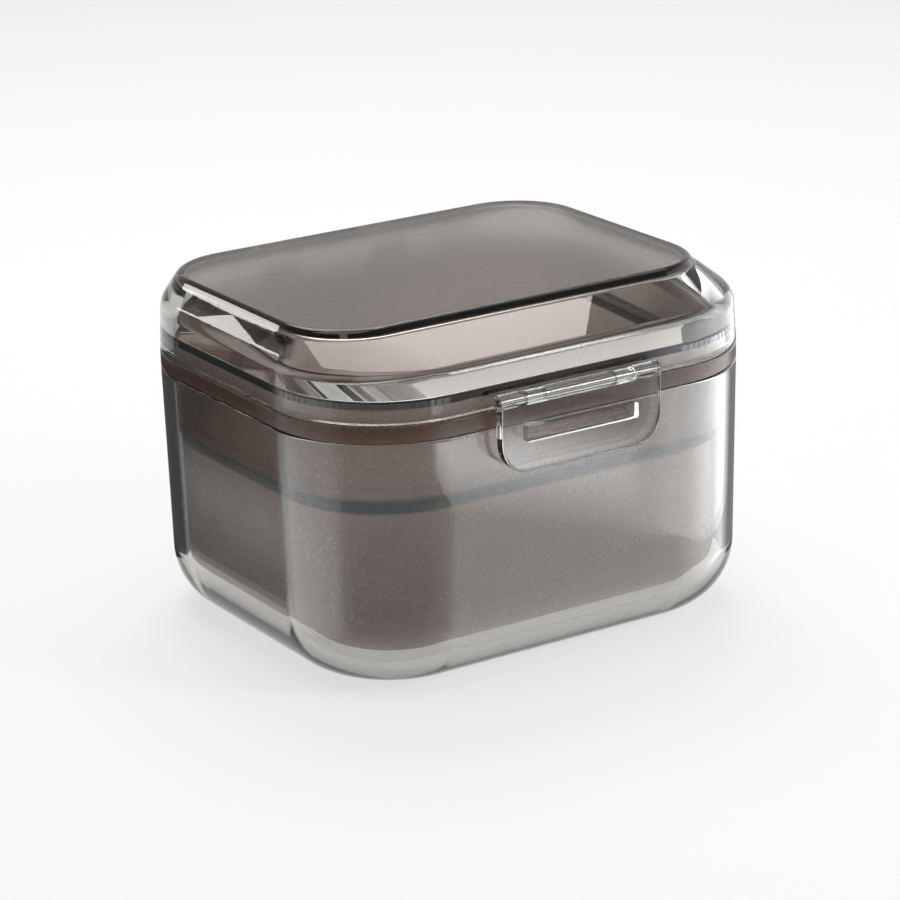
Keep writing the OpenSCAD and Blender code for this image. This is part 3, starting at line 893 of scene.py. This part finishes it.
class RETAINER_OT_stage(bpy.types.Operator):
    """Sets up the pale floor, the soft studio light and the camera"""

    bl_idname = "retainer.stage"
    bl_label = "Stage"

    azimuth: FloatProperty(name="Azimuth", default=math.radians(-32.31), subtype="ANGLE")
    elevation: FloatProperty(name="Elevation", default=math.radians(18.66), subtype="ANGLE")
    roll: FloatProperty(name="Roll", default=math.radians(-1.53), subtype="ANGLE")
    distance: FloatProperty(name="Distance", default=0.6123, unit="LENGTH")
    aim: FloatProperty(name="Aim height", default=0.02787, unit="LENGTH")
    focal_px: FloatProperty(name="Focal length in pixels", default=3446.0)

    def execute(self, context):
        scene = context.scene
        scene.view_settings.view_transform = "Standard"
        scene.cycles.max_bounces = 32
        scene.cycles.transmission_bounces = 32
        scene.cycles.glossy_bounces = 12
        scene.cycles.transparent_max_bounces = 16
        scene.cycles.sample_clamp_indirect = 4.0
        self.camera(scene)
        self.world(scene)
        self.floor()
        for lamp in LAMPS:
            self.lamp(lamp)
        for card in CARDS:
            self.card(card)
        return {"FINISHED"}

    def camera(self, scene):
        """Camera at the photograph's viewing angle."""
        back = Vector((
            math.sin(self.azimuth) * math.cos(self.elevation),
            -math.cos(self.azimuth) * math.cos(self.elevation),
            math.sin(self.elevation),
        ))
        right = Vector((math.cos(self.azimuth), math.sin(self.azimuth), 0.0))
        up = back.cross(right)
        across = right * math.cos(self.roll) + up * math.sin(self.roll)
        upward = up * math.cos(self.roll) - right * math.sin(self.roll)
        data = bpy.data.cameras.new("Camera")
        data.sensor_width = SENSOR_MM
        data.lens = SENSOR_MM * self.focal_px / IMAGE_PX
        data.clip_start = 0.01
        camera = bpy.data.objects.new("Camera", data)
        place = Matrix((across, upward, back)).transposed().to_4x4()
        place.translation = Vector((0.0, 0.0, self.aim)) + back * self.distance
        camera.matrix_world = place
        scene.collection.objects.link(camera)
        scene.camera = camera

    @staticmethod
    def world(scene):
        """Soft white light that is stronger from the right and fades towards the ceiling."""
        world = bpy.data.worlds.new("Studio")
        world.use_nodes = True
        tree = world.node_tree
        background = tree.nodes["Background"]
        way = coordinates(tree, "Generated")
        sides = map_range(tree, way["X"], (-1.0, 1.0), SKY_LEFT_TO_RIGHT)
        ceiling = map_range(tree, way["Z"], (0.0, SKY_HIGH), SKY_LOW_TO_HIGH)
        tree.links.new(maths(tree, "MULTIPLY", sides, ceiling), background.inputs["Strength"])
        background.inputs["Color"].default_value = (*SKY_TINT, 1.0)
        scene.world = world

    @staticmethod
    def floor():
        """Large pale floor, partly white by itself to the camera, in reflections and through clear plastic."""
        bm = bmesh.new()
        bmesh.ops.create_grid(bm, x_segments=1, y_segments=1, size=FLOOR_HALF)
        floor = new_object("Floor", bm)
        floor.data.transform(Matrix.Translation((0.0, 0.0, -FLOOR_DROP)))
        material, shader = new_material("Pale floor")
        shader.inputs["Base Color"].default_value = (*settings().colours.floor, 1.0)
        shader.inputs["Roughness"].default_value = 0.9
        shader.inputs["Specular IOR Level"].default_value = 0.0
        tree = material.node_tree
        rays = tree.nodes.new("ShaderNodeLightPath").outputs
        seen = maths(tree, "MAXIMUM", rays["Is Camera Ray"], rays["Is Glossy Ray"])
        seen = maths(tree, "MAXIMUM", seen, rays["Is Transmission Ray"])
        white = tree.nodes.new("ShaderNodeEmission")
        mix = tree.nodes.new("ShaderNodeMixShader")
        tree.links.new(maths(tree, "MULTIPLY", seen, FLOOR_WHITE), mix.inputs["Fac"])
        tree.links.new(shader.outputs["BSDF"], mix.inputs[1])
        tree.links.new(white.outputs["Emission"], mix.inputs[2])
        tree.links.new(mix.outputs["Shader"], tree.nodes["Material Output"].inputs["Surface"])
        floor.data.materials.append(material)

    @staticmethod
    def card(card):
        """Studio card that shows only in reflections and through clear plastic, with soft ends."""
        first, last = Vector((*card.start, 0.0)), Vector((*card.end, 0.0))
        along = (last - first).normalized()
        middle, half = (first + last) / 2, (last - first).length / 2
        reach = half + CARD_FADE / 2
        bm = bmesh.new()
        edge = bm.edges.new([bm.verts.new(middle + along * side * reach) for side in (-1, 1)])
        raised = bmesh.ops.extrude_edge_only(bm, edges=[edge])
        moved = [item for item in raised["geom"] if isinstance(item, bmesh.types.BMVert)]
        bmesh.ops.translate(bm, verts=moved, vec=card.run)
        plane = new_object(card.name, bm)
        material, shader = new_material(card.name)
        tree = material.node_tree
        brightest = max(card.levels)
        shader.inputs["Base Color"].default_value = (0.0, 0.0, 0.0, 1.0)
        shader.inputs["Specular IOR Level"].default_value = 0.0
        shader.inputs["Emission Strength"].default_value = brightest
        ramp = tree.nodes.new("ShaderNodeValToRGB")
        stops = ramp.color_ramp.elements
        for step, level in enumerate(card.levels):
            stop = stops[0] if step == 0 else stops.new(step / len(card.levels))
            stop.color = (*(channel * level / brightest for channel in CARD_TINT), 1.0)
        stops.remove(stops[-1])
        height = map_range(tree, coordinates(tree)["Z"], (0.0, max(card.run[2], MM)))
        tree.links.new(height, ramp.inputs["Fac"])
        tree.links.new(ramp.outputs["Color"], shader.inputs["Emission Color"])
        place = tree.nodes.new("ShaderNodeTexCoord")
        track = tree.nodes.new("ShaderNodeVectorMath")
        track.operation = "DOT_PRODUCT"
        track.inputs[1].default_value = along
        tree.links.new(place.outputs["Object"], track.inputs[0])
        apart = maths(tree, "SUBTRACT", track.outputs["Value"], middle.dot(along))
        apart = maths(tree, "ABSOLUTE", apart)
        ends = map_range(tree, apart, (half - CARD_FADE / 2, reach), (1.0, 0.0), "SMOOTHSTEP")
        tree.links.new(ends, shader.inputs["Alpha"])
        plane.data.materials.append(material)
        plane.visible_camera = False
        plane.visible_diffuse = False
        plane.visible_shadow = False

    @staticmethod
    def lamp(lamp):
        """Soft lamp aimed at its target."""
        data = bpy.data.lights.new(lamp.name, "AREA")
        data.color = lamp.tint
        data.shape = "RECTANGLE"
        data.size = lamp.width
        data.size_y = lamp.depth
        data.energy = lamp.radiance * math.pi * lamp.width * lamp.depth
        softbox = bpy.data.objects.new(lamp.name, data)
        aim = Vector(lamp.target) - Vector(lamp.place)
        softbox.rotation_euler = aim.to_track_quat("-Z", "Y").to_euler()
        softbox.location = lamp.place
        bpy.context.scene.collection.objects.link(softbox)


class RETAINER_PT_panel(bpy.types.Panel):
    """Lists the pieces of the retainer case"""

    bl_idname = "RETAINER_PT_panel"
    bl_label = "Retainer case"
    bl_space_type = "VIEW_3D"
    bl_region_type = "UI"
    bl_category = "Retainer case"

    def draw(self, context):
        for operator in OPERATORS:
            self.layout.operator(operator.bl_idname)


OPERATORS = (
    RETAINER_OT_tub,
    RETAINER_OT_basket,
    RETAINER_OT_lid,
    RETAINER_OT_latch,
    RETAINER_OT_seal_and_pins,
    RETAINER_OT_stage,
)
CLASSES = (
    RetainerTubSizes,
    RetainerBasketSizes,
    RetainerLidSizes,
    RetainerLatchSizes,
    RetainerColours,
    RetainerCase,
    *OPERATORS,
    RETAINER_PT_panel,
)


def register():
    """Registers the classes and puts the settings on the scene."""
    for cls in CLASSES:
        bpy.utils.register_class(cls)
    bpy.types.Scene.retainer_case = PointerProperty(type=RetainerCase)


def unregister():
    """Takes the settings and the classes away again."""
    del bpy.types.Scene.retainer_case
    for cls in reversed(CLASSES):
        bpy.utils.unregister_class(cls)


def main():
    """Registers the classes, builds the case on the frame and sets up the stage."""
    register()
    bpy.ops.retainer.tub()
    bpy.ops.retainer.basket()
    bpy.ops.retainer.lid()
    bpy.ops.retainer.latch()
    bpy.ops.retainer.seal_and_pins()
    bpy.ops.retainer.stage()
    bpy.context.view_layer.update()


if __name__ == "__main__":
    main()
